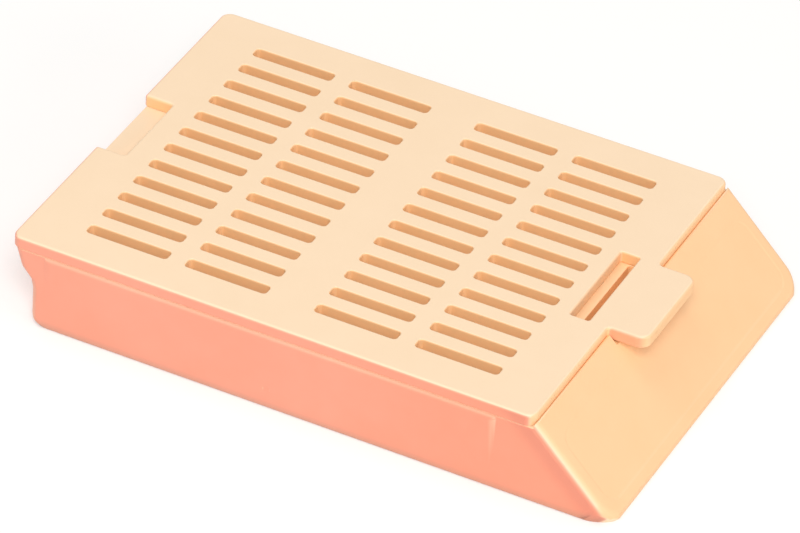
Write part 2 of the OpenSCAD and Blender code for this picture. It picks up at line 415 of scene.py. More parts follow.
class SlotTree(TreeBuilder):
    """Tree that cuts slots through a plate: walls on a grid of points, and both faces filled again."""

    def __init__(self, values: dict[str, object]) -> None:
        """Builds the tree.

        Args:
            values: The inputs by name, which also give each socket its type.
        """
        super().__init__(bpy.data.node_groups.new("flow_slots", "GeometryNodeTree"))
        kinds = {float: "Float", int: "Int", bpy.types.Material: "Material"}
        self.socket("Geometry", "Geometry", Side.OUTPUT)
        self.socket("Geometry", "Geometry")
        self.identifiers = {name: self.socket(name, kinds[type(values[name])]) for name in values}
        self.given = self.add("NodeGroupInput").outputs
        placed = self._geo("InstanceOnPoints", {"Points": self._points(), "Instance": self._walls()})
        opened = self.given["Geometry"]
        for level, up in (("Bottom", -1.0), ("Top", 1.0)):
            opened = self._opened(opened, level, up)
        shell = self._joined(opened, self._realized(placed))
        underside = self._geo("FlipFaces", {"Mesh": self._filled(shell, "Bottom")})
        whole = self._welded(self._joined(shell, underside, self._filled(shell, "Top")))
        dressed = {"Geometry": self._realized(whole), "Material": self.given["Material"]}
        self.add("NodeGroupOutput", {"Geometry": self._geo("SetMaterial", dressed)})

    def _geo(self, kind: str, inputs: Inputs | None = None, **settings: object) -> Socket:
        """Adds a node of the geometry family and returns its first output."""
        return self.add(f"GeometryNode{kind}", inputs, **settings).outputs[0]

    def _joined(self, *parts: Socket) -> Socket:
        """Returns several geometries as one."""
        return self._geo("JoinGeometry", {"Geometry": list(parts)})

    def _realized(self, instances: Socket) -> Socket:
        """Returns a geometry with its instances made real."""
        return self._geo("RealizeInstances", {"Geometry": instances})

    def _welded(self, mesh: Socket) -> Socket:
        """Returns a mesh with its doubled points merged."""
        return self._geo("MergeByDistance", {"Geometry": mesh, "Distance": WELD})

    def _vector(self, **parts: object) -> Socket:
        """Returns a vector from its parts by name, X, Y and Z."""
        return self.shade("CombineXYZ", parts)

    def _compared(self, a: Socket, operation: str, b: float) -> Socket:
        """Returns whether a comparison holds."""
        return self.add("FunctionNodeCompare", {"A": a, "B": b}, operation=operation).outputs[0]

    def _z(self, vector: Socket) -> Socket:
        """Returns the z of a vector."""
        return self.add("ShaderNodeSeparateXYZ", {0: vector}).outputs["Z"]

    def _at_level(self, level: str, chosen: Socket) -> Socket:
        """Narrows a selection to what lies at a height.

        Args:
            level: The input that holds the height.
            chosen: The selection.

        Returns:
            The narrower selection.
        """
        away = self.math("SUBTRACT", self._z(self._geo("InputPosition")), self.given[level])
        near = self._compared(self.math("ABSOLUTE", away), "LESS_THAN", WELD)
        return self.add("FunctionNodeBooleanMath", {0: chosen, 1: near}).outputs[0]

    def _walls(self) -> Socket:
        """Sweeps the wall of one slot round its outline.

        Returns:
            The wall of one slot at the origin, open at both ends.
        """
        given = self.given
        size = {"Width": given["Slot Length"], "Height": given["Slot Width"]}
        corner = {"Count": given["Corner Steps"], "Radius": given["Corner Radius"]}
        outline = self._geo("CurvePrimitiveQuadrilateral", size)
        outline = self._geo("FilletCurve", {"Curve": outline, **corner}, mode="POLY")
        outline = self._geo("SetCurveNormal", {"Curve": outline}, mode="Z_UP")
        # A swept profile has its x outwards and its y downwards
        low, high = (self.math("MULTIPLY", given[level], -1.0) for level in ("Bottom", "Top"))
        rim = given["Rim Radius"]
        corners = ((rim, low), (0.0, low), (0.0, high), (rim, high))
        chosen = self.add("GeometryNodeIndexSwitch", data_type="VECTOR")
        for _ in corners[2:]:
            chosen.index_switch_items.new()
        sources = [self._geo("InputIndex"), *(self._vector(X=x, Y=y) for x, y in corners)]
        for k, source in enumerate(sources):
            self.tree.links.new(source, chosen.inputs[k])
        profile = self._geo("MeshLine", {"Count": len(corners)})
        profile = self._geo("SetPosition", {"Geometry": profile, "Position": chosen.outputs[0]})
        profile = self._geo("MeshToCurve", {"Mesh": profile})
        edge = {"Count": given["Rim Steps"], "Radius": rim, "Limit Radius": True}
        profile = self._geo("FilletCurve", {"Curve": profile, **edge}, mode="POLY")
        return self._welded(self._geo("CurveToMesh", {"Curve": outline, "Profile Curve": profile}))

    def _points(self) -> Socket:
        """Lays out the middle of every slot.

        Returns:
            One point for each slot.
        """
        given = self.given
        inner, pitch, rows = given["Inner Columns"], given["Row Pitch"], given["Rows"]
        gap = self._vector(X=self.math("SUBTRACT", given["Outer Columns"], inner))
        ends = {"Count": 2, "Start Location": self._vector(X=inner), "Offset": gap}
        pair = self._geo("MeshLine", ends)
        mirrored = self._geo("Transform", {"Geometry": pair, "Scale": (-1, 1, 1)})
        span = self.math("MULTIPLY", self.math("SUBTRACT", rows, 1.0), pitch)
        start = self._vector(X=given["Field Middle"], Y=self.math("MULTIPLY", span, -0.5))
        row = {"Count": rows, "Start Location": start, "Offset": self._vector(Y=pitch)}
        grid = {"Points": self._joined(pair, mirrored), "Instance": self._geo("MeshLine", row)}
        return self._realized(self._geo("InstanceOnPoints", grid))

    def _opened(self, mesh: Socket, level: str, up: float) -> Socket:
        """Takes away the faces that lie level at a height.

        Args:
            mesh: The mesh that is opened.
            level: The input that holds the height.
            up: 1 for faces that look up, or -1 for faces that look down.

        Returns:
            The mesh without those faces.
        """
        rise = self.math("MULTIPLY", self._z(self._geo("InputNormal")), up)
        chosen = self._at_level(level, self._compared(rise, "GREATER_THAN", LEVEL))
        taken = {"Geometry": mesh, "Selection": chosen}
        return self._geo("DeleteGeometry", taken, domain="FACE", mode="ALL")

    def _filled(self, shell: Socket, level: str) -> Socket:
        """Fills the area between the open edges at a height.

        Args:
            shell: The open walls.
            level: The input that holds the height.

        Returns:
            The flat face, which looks up, with a hole for each slot.
        """
        # An open edge has one face
        loose = self._compared(self._geo("InputMeshEdgeNeighbors"), "LESS_THAN", 1.5)
        edges = self._geo("MeshToCurve", {"Mesh": shell, "Selection": self._at_level(level, loose)})
        face = self._geo("FillCurve", {"Curve": edges}, mode="TRIANGLES")
        lift = self._vector(Z=self.given[level])
        return self._geo("Transform", {"Geometry": face, "Translation": lift})


@dataclass(frozen=True)
class FlowSlots:
    """Rows of flow slots with rounded rims. Each field is an input of the tree that cuts them."""

    field_middle: float
    inner_columns: float
    outer_columns: float
    rows: int
    row_pitch: float
    slot_length: float
    slot_width: float
    rim_radius: float
    corner_radius: float = 0.25
    corner_steps: int = 6
    rim_steps: int = 4

    def cut_into(self, solid: Solid, bottom: float, top: float, material: bpy.types.Material) -> None:
        """Cuts the slots between two level faces of a solid.

        Args:
            solid: The solid that is cut.
            bottom: Height of the lower face.
            top: Height of the upper face.
            material: Material of the whole moulding.
        """
        values = {"bottom": bottom, "top": top, **asdict(self), "material": material}
        values = {name.replace("_", " ").title(): value for name, value in values.items()}
        slots = SlotTree(values)
        modifier = solid.object.modifiers.new("flow_slots", "NODES")
        modifier.node_group = slots.tree
        for name, identifier in slots.identifiers.items():
            modifier[identifier] = values[name]
        solid.apply()


# ---- Mesh finishing ----


@dataclass(frozen=True)
class MeshFinisher:
    """Places a moulding in the model's frame and gives it even normals and the masks of its painted
    light and shade.

    The lengths say where each tone lies, the ramps over which part of a normal it comes in, and the
    shares how much of it there is. A normal counts as turned to a side, or as facing it, from the part
    of it that points there.
    """

    hinge_x: float
    half_width: float
    lid_length: float
    crease: float = math.radians(34)
    flat: float = math.radians(0.4)
    least_area: float = 0.4
    turned: float = 0.3
    facing: float = 0.5
    side_depth: float = 0.35
    rear_depth: float = 1.5
    floor_x: float = 2.4
    end_margin: float = 0.05
    tab_margin: float = 0.1
    tab_root: float = 0.5
    tab_half: float = 4.0
    tab_foot_z: float = 4.9
    pocket_x: Span = (3.1, 1.8)
    pocket_half: float = 3.8
    flank_ramp: Span = (0.72, 0.985)
    rear_ramp: Span = (0.3, 0.6)
    toe_ramp: Span = (0.05, 0.18)
    under_ramp: Span = (0.02, 0.2)
    inner_ramp: Span = (0.5, 0.9)
    tab_ramp: Span = (0.5, 0.95)
    front_ramp: Span = (0.4, 0.68)
    # Shares of the painted light and shade that the masks carry
    wall_share: float = 0.75
    toe_fade: float = 0.45
    floor_share: float = 0.6
    tab_foot_share: float = 0.35
    tab_inner_share: float = 0.3
    tab_flank_share: float = 0.7
    inner_fade: float = 0.5
    pocket_share: float = 0.5

    def finish(self, solid: Solid, name: str, is_lid: bool = False) -> Thing:
        """Turns a solid into a finished piece.

        Args:
            solid: The solid in the local frame, in millimetres.
            name: The piece's name.
            is_lid: True for the lid.

        Returns:
            The piece's object, at the origin, in metres.
        """
        mesh = solid.object.data
        self._clean(mesh)
        corners = self._corner_places(mesh)
        mesh.transform(Matrix.Translation((self.hinge_x, 0, 0)) @ Matrix.Scale(MM, 4))
        mesh.shade_smooth()
        normals = self._even_normals(mesh)
        mesh.normals_split_custom_set(normals)
        for mask, values in self._tones(corners, normals, is_lid).items():
            layer = mesh.attributes.new(mask, "FLOAT", "CORNER")
            layer.data.foreach_set("value", values.astype(np.float32))
        solid.object.name = mesh.name = name
        return solid.object

    def _tones(self, places: np.ndarray, normals: np.ndarray, is_lid: bool) -> dict[str, np.ndarray]:
        """Works out how far each face corner takes the flanks' painted shade, the front's painted light
        and the inside's painted glow.

        Args:
            places: Place of each corner in the local frame, in millimetres.
            normals: Normal of each corner.
            is_lid: True for the lid.

        Returns:
            The masks by name, each from 0 to 1.
        """
        x, y, z = places[:, 0], np.abs(places[:, 1]), places[:, 2]
        ahead, across, up = normals[:, 0], np.abs(normals[:, 1]), np.abs(normals[:, 2])
        front_x = self.lid_length
        side = y > self.half_width - self.side_depth
        rear = (ahead < -self.turned) & (x < self.rear_depth)
        within = ~(side | rear)
        # Side and rear faces take the flank tone: painted shade, as they get less light than level faces
        flank = side * smooth_step(self.flank_ramp, across) + rear * smooth_step(self.rear_ramp, -ahead)
        # Faces inside slots and hollows take the inner tone: a painted glow of light through the
        # translucent resin
        inner = within * (1 - smooth_step(self.inner_ramp, up))
        if is_lid:
            # Painted shade on the finger tab's sides
            tab_side = within & (x > front_x + self.tab_margin) & (across > self.turned)
            inner = np.where(tab_side, self.tab_inner_share * inner, inner)
            on_tab = self.tab_flank_share * smooth_step(self.tab_ramp, across)
            flank = np.maximum(flank, tab_side * on_tab)
        else:
            # Side roundings below the lid take most of the flank's painted shade instead of the face's
            # painted light
            wall = side & (x < front_x) & (ahead < self.turned) & (up < LEVEL)
            flank = np.maximum(flank, self.wall_share * wall)
            # Painted light: flank bevels turned towards the writing plate are lightened
            flank *= 1 - self.toe_fade * wall * smooth_step(self.toe_ramp, ahead)
            # Painted shade on side faces that turn downwards
            flank = np.maximum(flank, side * smooth_step(self.under_ramp, -normals[:, 2]))
            # Painted glow on the chamber floor seen through the slots
            inner = np.maximum(inner, self.floor_share * (within & (x > self.floor_x) & (x < front_x)))
            inner *= x < front_x + self.end_margin
            # Painted shade under the finger tab, on the relief beneath it
            tab_foot = within & (x > front_x - self.tab_root) & (y < self.tab_half)
            tab_foot &= (z > self.tab_foot_z) & (ahead < self.facing)
            inner = np.maximum(inner, tab_foot)
            flank = np.maximum(flank, self.tab_foot_share * tab_foot)
        # Faces turned towards the writing plate take the front tone: painted light
        front = smooth_step(self.front_ramp, ahead) * (normals[:, 2] > -0.1)
        front *= 1 - self.inner_fade * inner
        if is_lid:
            # Painted light on the rear wall of the latch slot
            rear_x, fore_x = (front_x - back for back in self.pocket_x)
            pocket = within & (x > rear_x) & (x < fore_x) & (y < self.pocket_half)
            pocket &= ahead > self.facing
            inner, front = inner * ~pocket, np.where(pocket, self.pocket_share, front)
        return {"flank": np.clip(flank, 0, 1), "inner": inner, "front": front}

    @staticmethod
    def _corner_places(mesh: Mesh) -> np.ndarray:
        """Reads the place of each face corner.

        Args:
            mesh: The mesh.

        Returns:
            One place for each corner.
        """
        places = np.empty(len(mesh.vertices) * 3)
        mesh.vertices.foreach_get("co", places)
        indices = np.empty(len(mesh.loops), dtype=np.int32)
        mesh.loops.foreach_get("vertex_index", indices)
        return places.reshape(-1, 3)[indices]

    @staticmethod
    def _clean(mesh: Mesh) -> None:
        """Welds a mesh's points and turns its faces outwards.

        Args:
            mesh: The mesh.
        """
        shape = bmesh.new()
        shape.from_mesh(mesh)
        bmesh.ops.remove_doubles(shape, verts=shape.verts, dist=WELD)
        bmesh.ops.dissolve_degenerate(shape, edges=shape.edges, dist=WELD)
        bmesh.ops.recalc_face_normals(shape, faces=shape.faces)
        open_edges = sum(1 for edge in shape.edges if len(edge.link_faces) != 2)
        shape.to_mesh(mesh)
        shape.free()
        LOG.info("cleaned a mesh of %d faces, with %d open edges", len(mesh.polygons), open_edges)

    @staticmethod
    def _bend_below(edge: Edge, angle: float) -> bool:
        """Returns whether the two faces at an edge bend by less than an angle."""
        return len(edge.link_faces) == 2 and edge.calc_face_angle(0) < angle

    @staticmethod
    def _groups(faces: Sequence[Face], crossed: set[Edge]) -> list[list[Face]]:
        """Sorts faces into groups that hang together.

        Args:
            faces: The faces.
            crossed: The edges that lead from face to face.

        Returns:
            The groups.
        """
        groups, waiting = [], set(faces)
        for first in faces:
            if first not in waiting:
                continue
            waiting.remove(first)
            groups.append([first])
            for face in groups[-1]:  # the group grows while it is walked
                for edge in face.edges:
                    if edge in crossed:
                        near = [other for other in edge.link_faces if other in waiting]
                        waiting.difference_update(near)
                        groups[-1].extend(near)
        return groups

    def _even_normals(self, mesh: Mesh) -> np.ndarray:
        """Works out normals that keep flat faces flat and let small roundings blend into them.

        Args:
            mesh: The cleaned mesh.

        Returns:
            One normal for each corner of each face.
        """
        shape = bmesh.new()
        shape.from_mesh(mesh)
        region, areas = self._flat_regions(shape)
        normals = np.zeros((len(mesh.loops), 3))
        soft = {edge for edge in shape.edges if self._bend_below(edge, self.crease)}
        for vert in shape.verts:
            for fan in self._groups(vert.link_faces, soft.intersection(vert.link_edges)):
                by_region = {region[face.index]: face.normal for face in fan}
                least = max(areas[k] for k in by_region) * self.least_area
                total = sum((normal for k, normal in by_region.items() if areas[k] >= least), Vector())
                for loop in (loop for face in fan for loop in face.loops if loop.vert == vert):
                    normals[loop.index] = total.normalized()
        shape.free()
        return normals

    def _flat_regions(self, shape: bmesh.types.BMesh) -> tuple[dict[int, int], list[float]]:
        """Groups faces that lie in one plane side by side.

        Args:
            shape: The mesh.

        Returns:
            The region of each face by its index, and the area of each region.
        """
        crossed = {edge for edge in shape.edges if self._bend_below(edge, self.flat)}
        groups = self._groups(shape.faces, crossed)
        region = {face.index: k for k, group in enumerate(groups) for face in group}
        return region, [sum(face.calc_area() for face in group) for group in groups]


# ---- Finishes ----


@dataclass(frozen=True)
class PaintedShadeReach:
    """Stretch along a direction, in metres, over which a painted shade of the flanks comes in."""

    name: str
    along: tuple[float, float, float]
    start: float
    end: float


PAINTED_SHADE_REACHES = (
    # Painted shades: flanks darker towards the writing plate, a contact shadow at the foot, a dark band
    # at the toe beside the plate
    PaintedShadeReach("Flow Tint", (1, 0, 0), -0.004, 0.016),
    PaintedShadeReach("Foot Tint", (0, 0, -1), -0.0008, 0.0),
    PaintedShadeReach("Toe Tint", (math.sqrt(0.5), 0, math.sqrt(0.5)), 0.0129, 0.0141),
)


class SharedEffects:
    """Shader node groups that both mouldings' materials use."""

    @staticmethod
    def resin_tone() -> bpy.types.NodeTree:
        """Builds the group that paints light and shade into the resin's colour by where it faces,
        deepens the flanks with painted shade and mottles all.

        Returns:
            The group, which puts out a colour.
        """
        build = TreeBuilder(bpy.data.node_groups.new("resin_tone", "ShaderNodeTree"))
        for name in ("Face", "Flank", "Inner", "Front", *(tint.name for tint in PAINTED_SHADE_REACHES)):
            build.socket(name, "Color")
        for name in ("Mottle", "Mottle Size"):
            build.socket(name, "Float")
        build.socket("Colour", "Color", Side.OUTPUT)
        given = build.add("NodeGroupInput").outputs
        # Painted light and shade: flank tone is painted shade, inner tone a painted glow, front tone
        # painted light, over the face tone painted as lit
        flank = build.mask("flank")
        masks = {"Flank": flank, "Inner": build.mask("inner"), "Front": build.mask("front")}
        tone = given["Face"]
        for name, mask in masks.items():
            tone = build.mix(mask, tone, given[name])
        place = build.add("ShaderNodeTexCoord").outputs["Object"]
        # Painted shades deepen the flanks over each reach
        for tint in PAINTED_SHADE_REACHES:
            inputs = {0: place, 1: tint.along}
            reach = build.add("ShaderNodeVectorMath", inputs, operation="DOT_PRODUCT").outputs["Value"]
            inputs = {"Value": reach, 1: tint.start, 2: tint.end, 3: 0.0, 4: 1.0}
            share = build.shade("MapRange", inputs, interpolation_type="SMOOTHSTEP")
            tone = build.mix(build.math("MULTIPLY", share, flank), tone, given[tint.name], "MULTIPLY")
        cloud = build.noise(place, given["Mottle Size"], detail=3.0, roughness=0.55)
        swing = build.math("MULTIPLY", build.math("SUBTRACT", cloud, 0.5), given["Mottle"])
        value, saturation = build.math("ADD", 1.0, swing), build.math("SUBTRACT", 1.0, swing)
        inputs = {"Color": tone, "Value": value, "Saturation": saturation}
        build.add("NodeGroupOutput", {"Colour": build.shade("HueSaturation", inputs)})
        return build.tree

    @staticmethod
    def mould_skin() -> bpy.types.NodeTree:
        """Builds the group for the fine skin that a matt mould leaves, which is smoother on the flanks.

        Returns:
            The group, which puts out a height and a roughness.
        """
        flank_grain, unevenness = 0.35, 0.12
        build = TreeBuilder(bpy.data.node_groups.new("mould_skin", "ShaderNodeTree"))
        for name in ("Grain Size", "Face Roughness", "Flank Roughness", "Front Roughness"):
            build.socket(name, "Float")
        for name in ("Height", "Roughness"):
            build.socket(name, "Float", Side.OUTPUT)
        given = build.add("NodeGroupInput").outputs
        flank, front = build.mask("flank"), build.mask("front")
        place = build.add("ShaderNodeTexCoord").outputs["Object"]
        grain = build.noise(place, given["Grain Size"], detail=2.0, roughness=0.6)
        polish = build.shade("MapRange", {"Value": flank, 3: 1.0, 4: flank_grain})
        height = build.math("MULTIPLY", grain, polish)
        rough = build.shade("Mix", {0: flank, 2: given["Face Roughness"], 3: given["Flank Roughness"]})
        rough = build.shade("Mix", {0: front, 2: rough, 3: given["Front Roughness"]})
        uneven = build.math("MULTIPLY", build.math("SUBTRACT", grain, 0.5), unevenness)
        build.add("NodeGroupOutput", {"Height": height, "Roughness": build.math("ADD", rough, uneven)})
        return build.tree


@dataclass(frozen=True)
class AcetalFinish:
    """Peach acetal with light and shade painted in: lit level faces, flanks in painted shade, matt on
    the front.

    Three painted shades multiply the flanks' colour: darker towards the writing plate, at the foot and
    at the toe.
    Each input of the two groups takes the field of the same name.
    """

    name: str
    tone_group: bpy.types.NodeTree
    skin_group: bpy.types.NodeTree
    # Lit and shaded copies of one peach: face painted as lit from above, flank painted shade, inner a
    # painted glow, front painted light
    face: Colour = srgb(250, 221, 186)
    flank: Colour = srgb(250, 163, 135)
    inner: Colour = srgb(255, 206, 151)
    front: Colour = srgb(252, 203, 154)
    # Painted shades on the flanks: darker towards the writing plate, contact shadow at the foot, dark
    # band at the toe
    flow_tint: Colour = (0.99, 0.93, 0.87, 1.0)
    foot_tint: Colour = (0.72, 0.9, 0.95, 1.0)
    toe_tint: Colour = (0.9, 0.86, 0.88, 1.0)
    face_roughness: float = 0.5
    flank_roughness: float = 0.4
    front_roughness: float = 0.6
    grain_size: float = 0.00012
    grain_height: float = 0.000004
    mottle: float = 0.05
    mottle_size: float = 0.004
    ior: float = 1.48

    def material(self) -> bpy.types.Material:
        """Builds the material.

        Returns:
            A node material whose colour, roughness and normal vary over the surface.
        """
        material = bpy.data.materials.new(self.name)
        material.diffuse_color = self.face
        build = TreeBuilder.emptied(material)
        effects = {}
        for group in (self.tone_group, self.skin_group):
            node = build.add("ShaderNodeGroup", node_tree=group)
            for given in node.inputs:
                given.default_value = getattr(self, given.name.lower().replace(" ", "_"))
            effects.update(node.outputs.items())
        grain = {"Height": effects["Height"], "Distance": self.grain_height, "Strength": 1.0}
        look = {"Base Color": effects["Colour"], "Roughness": effects["Roughness"], "IOR": self.ior}
        shader = build.shade("BsdfPrincipled", {**look, "Normal": build.shade("Bump", grain)})
        build.add("ShaderNodeOutputMaterial", {"Surface": shader})
        return material


# ---- Mouldings ----


@dataclass(frozen=True)
class CassetteSizes:
    """Sizes that the tray and the lid share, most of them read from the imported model."""

    hinge_x: float
    height: float
    width: float
    tab_end: float
    length: float
    plate_back_z: float
    panel_proud: float
    lid_t: float = 0.85
    lid_length: float = 35.7
    wall_t: float = 1.0
    latch_width: float = 7.4
    slot_length: float = 5.6
    slot_width: float = 0.85
    pair_bar: float = 1.25
    centre_bar: float = 3.3
    slot_pitch: float = 2.0
    side_border: float = 1.0
    notch_width: float = 6.3
    leg_x: float = 34.4

    @classmethod
    def from_frame(cls) -> "CassetteSizes":
        """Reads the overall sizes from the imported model's boxes.

        Returns:
            The sizes.
        """
        lid_low, lid_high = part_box("lid")
        base_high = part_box("base")[1]
        return cls(
            hinge_x=lid_low.x,
            height=lid_high.z / MM,
            width=2 * lid_high.y / MM,
            tab_end=(lid_high.x - lid_low.x) / MM,
            length=(base_high.x - lid_low.x) / MM,
            plate_back_z=base_high.z / MM,
            panel_proud=(base_high.y - lid_high.y) / MM,
        )

    @property
    def rim_z(self) -> float:
        """Height of the tray's rim, which the lid rests on."""
        return self.height - self.lid_t

    @property
    def half_width(self) -> float:
        """Half of the cassette's width."""
        return self.width / 2

    def finisher(self) -> MeshFinisher:
        """Returns the finisher that both mouldings go through."""
        return MeshFinisher(self.hinge_x, self.half_width, self.lid_length)

    def slots(self, rim_r: float) -> FlowSlots:
        """Lays out the slot pattern that the lid and the tray's floor share.

        Args:
            rim_r: Rounding radius of the slots' rims.

        Returns:
            The pattern.
        """
        inner_x = (self.centre_bar + self.slot_length) / 2
        room = self.width - 2 * self.wall_t - 2 * self.side_border
        return FlowSlots(
            field_middle=self.lid_length / 2,
            inner_columns=inner_x,
            outer_columns=inner_x + self.slot_length + self.pair_bar,
            rows=int((room - self.slot_width) / self.slot_pitch) + 1,
            row_pitch=self.slot_pitch,
            slot_length=self.slot_length,
            slot_width=self.slot_width,
            rim_radius=rim_r,
        )


@dataclass(frozen=True)
class Tray:
    """The tray moulding: walls, slotted floor, rear lip with its hinge bar, and the writing plate."""

    sizes: CassetteSizes
    finish: AcetalFinish
    floor_t: float = 0.9
    lip_x: float = 0.12
    lip_foot: tuple[float, float] = (0.54, 4.12)
    lip_root: tuple[float, float] = (1.2, 3.37)
    lip_low: float = 2.6
    rear_wall_x: float = 1.35
    front_wall_x: float = 33.35
    corner_r: float = 0.7
    foot_r: float = 1.3
    toe_r: float = 0.08
    bottom_r: float = 0.15
    rim_r: float = 0.05
    wedge_x: float = 33.0
    wedge_drop: float = 0.3
    plate_back_x: float = 35.78
    seam_x: float = 35.705
    plate_t: float = 1.1
    plate_edge_r: float = 0.55
    plate_top_r: float = 0.13
    plate_corner_r: float = 1.9
    plate_foot_u: float = 8.21
    land_t: float = 1.0
    bar_r: float = 1.92
    window_r: float = 2.85
    panel_x: Span = (2.3, 33.3)
    panel_drop: float = 0.05
    panel_bevel: float = 0.6
    panel_top_bevel: float = 0.3
    panel_corner_r: float = 0.12
    recess_depth: float = 0.03
    recess_border: float = 1.0
    recess_top: float = 1.6
    recess_corner_r: float = 1.2
    gate: tuple[float, float] = (17.9, 1.43)
    gate_r: float = 0.25
    catch_x: float = 33.7
    latch_hole_x: float = 35.4
    latch_corner_r: float = 0.2
    tab_relief: float = 0.2
    tab_gap: float = 0.1

    @property
    def slope(self) -> Matrix:
        """Frame of the writing plate: x down the slope, y across, z out of its face, at its top edge."""
        turn = Matrix.Rotation(math.radians(45), 4, "Y")
        return Matrix.Translation((self.plate_back_x, 0, self.sizes.plate_back_z)) @ turn

    def build(self) -> Thing:
        """Builds the tray.

        Returns:
            The finished piece.
        """
        sizes, rim_r = self.sizes, 0.06
        body = self._walls().add(self._rear_lip()).keep_inside(self._slope_block())
        body.add(*self._side_panels())
        body.cut(self._chamber(), self._plate_hollow(), self._hinge_window(), *self._latch_window())
        body.cut(self._writing_recess(), self._gate_mark())
        sizes.slots(rim_r).cut_into(body, 0.0, self.floor_t, self.finish.material())
        tray = sizes.finisher().finish(body, "tray_moulding")
        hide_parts("base")
        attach(tray, "base")
        return tray

    def _walls(self) -> Solid:
        """Builds the block of the walls and the wedge under the writing plate, rounded below.

        Returns:
            The block.
        """
        half, rim_z, end_x = self.sizes.half_width, self.sizes.rim_z, self.sizes.length
        plan = Outline.plan(self.rear_wall_x, self.plate_back_x + 3, half, self.corner_r)
        block = Solid(plan.levels(rounded_ends(-1.0, rim_z, 0, self.rim_r)))
        reach = self.plate_back_x + self.sizes.plate_back_z + 0.004
        low_z = rim_z - self.wedge_drop
        wedge = Outline.of_corners([
            (self.wedge_x, -1, 0.3), (reach + 1, -1, 0.05),
            (self.seam_x, reach - self.seam_x, self.plate_top_r), (self.seam_x, low_z, 0.02),
            (self.wedge_x, low_z, 0.1),
        ], steps=10)
        block.add(Solid.across(wedge, half))
        above, loose_r = 12, 2
        side = Outline.of_corners([
            (self.rear_wall_x, 0, self.foot_r), (end_x, 0, self.toe_r), (end_x, above, loose_r),
            (self.rear_wall_x, above, loose_r),
        ], steps=12)
        return block.keep_inside(Solid.across(side, half, self.bottom_r))

    def _slope_block(self) -> Solid:
        """Builds the block that gives the writing plate its face, rounded edges and lower corners.

        Returns:
            The block.
        """
        half, foot, far, loose_r = self.sizes.half_width, self.plate_foot_u, -60, 0.8
        outline = Outline.of_corners([
            (far, -half, loose_r), (foot, -half, self.plate_corner_r), (foot, half, self.plate_corner_r),
            (far, half, loose_r),
        ], steps=14)
        return Solid(outline.levels(rounded_ends(far, 0, 0, self.plate_edge_r, steps=9)), self.slope)

    def _rear_lip(self) -> Solid:
        """Builds the lip behind the rear wall, which leans in and then runs back to the wall.

        Returns:
            The lip.
        """
        half, rim_z = self.sizes.half_width, self.sizes.rim_z
        over_z, within_x, tuck = rim_z + 1, 5, 0.01
        (foot_x, foot_z), (root_x, root_z) = self.lip_foot, self.lip_root
        lean = (foot_x - self.lip_x) / (rim_z - foot_z)
        profile = Outline.of_corners([
            (within_x, self.lip_low, 0.1), (within_x, over_z, 0.1), (self.lip_x - lean, over_z, 0.05),
            (foot_x, foot_z, 0.35), (root_x, root_z, 0.5), (self.rear_wall_x + tuck, self.lip_low, 0.05),
        ]).ring()
        steps = sorted((p.y, p.x) for p in profile if p.x < self.rear_wall_x - tuck and p.y < rim_z)
        steps = [(self.lip_low + 0.1, self.rear_wall_x), *steps, (rim_z, self.lip_x)]
        lip = Solid([(Outline.plan(x, 3.0, half, self.corner_r).ring(), z) for z, x in steps])
        plan = Outline.plan(self.lip_x, 20, half, self.corner_r)
        return lip.keep_inside(Solid(plan.levels(rounded_ends(0, rim_z, 0, self.rim_r))))

    def _side_panels(self) -> list[Solid]:
        """Builds the panels that stand out from the side walls and run out towards the floor.

        Returns:
            The near and the far panel.
        """
        sizes, foot = self.sizes, self.floor_t
        rise = sizes.rim_z - self.panel_drop - foot
        lean = math.atan2(sizes.panel_proud, rise)
        # Share of the bevel, and height over the wall, from the root to the face
        steps = ((0, -0.4), (0, -sizes.panel_proud), (0.16, -0.06), (0.52, -0.015), (1, 0))
        rings = []
        for share, level in steps:
            bevel = self.panel_bevel * share
            along = (self.panel_x[0] + bevel, self.panel_x[1] - bevel)
            up = (-0.3, rise - self.panel_top_bevel * share)
            rings.append((Outline.rectangle(along, up, self.panel_corner_r).ring(), level))
        middle = Matrix.Translation((sizes.lid_length / 2, 0, 0))
        stand = Matrix.Translation((-sizes.lid_length / 2, -sizes.half_width, foot))
        stand @= Matrix.Rotation(math.pi / 2 + lean, 4, "X")
        return [Solid(rings, middle @ Matrix.Rotation(turn, 4, "Z") @ stand) for turn in (0.0, math.pi)]

    def _writing_recess(self) -> Solid:
        """Builds the shallow recess that leaves a border round the writing surface.

        Returns:
            The cutter.
        """
        half, foot = self.sizes.half_width - self.recess_border, self.plate_foot_u - self.recess_border
        plan, depth = Outline.plan(self.recess_top, foot, half, self.recess_corner_r), self.recess_depth
        stations = [(0.3, -depth), (0.12, -depth * 0.6), (0, 0.005), (0, 1.0)]
        return Solid(plan.levels(stations), self.slope)

    def _gate_mark(self) -> Solid:
        """Builds the small dimple that the moulding gate leaves low on the near wall.

        Returns:
            The cutter.
        """
        near = -self.sizes.half_width
        stations = [(0, near - 0.5), (0, near - 0.01), (0.08, near + 0.03)]
        return Solid(Outline.circle(*self.gate, self.gate_r).levels(stations), ACROSS)

    def _chamber(self) -> Solid:
        """Builds the space inside the tray, with a filleted floor and a rounded rim.

        Returns:
            The cutter.
        """
        wall, rim_z, fillet_r = self.sizes.wall_t, self.sizes.rim_z, 0.35
        ends = (self.rear_wall_x + wall, self.front_wall_x - wall)
        plan = Outline.plan(*ends, self.sizes.half_width - wall, self.corner_r)
        lower = rounded_ends(self.floor_t, rim_z, fillet_r, 0, steps=5)[:-1]
        upper = flared_ends(0, rim_z, self.rim_r)
        return Solid(plan.levels(lower + upper[len(upper) // 2:]))

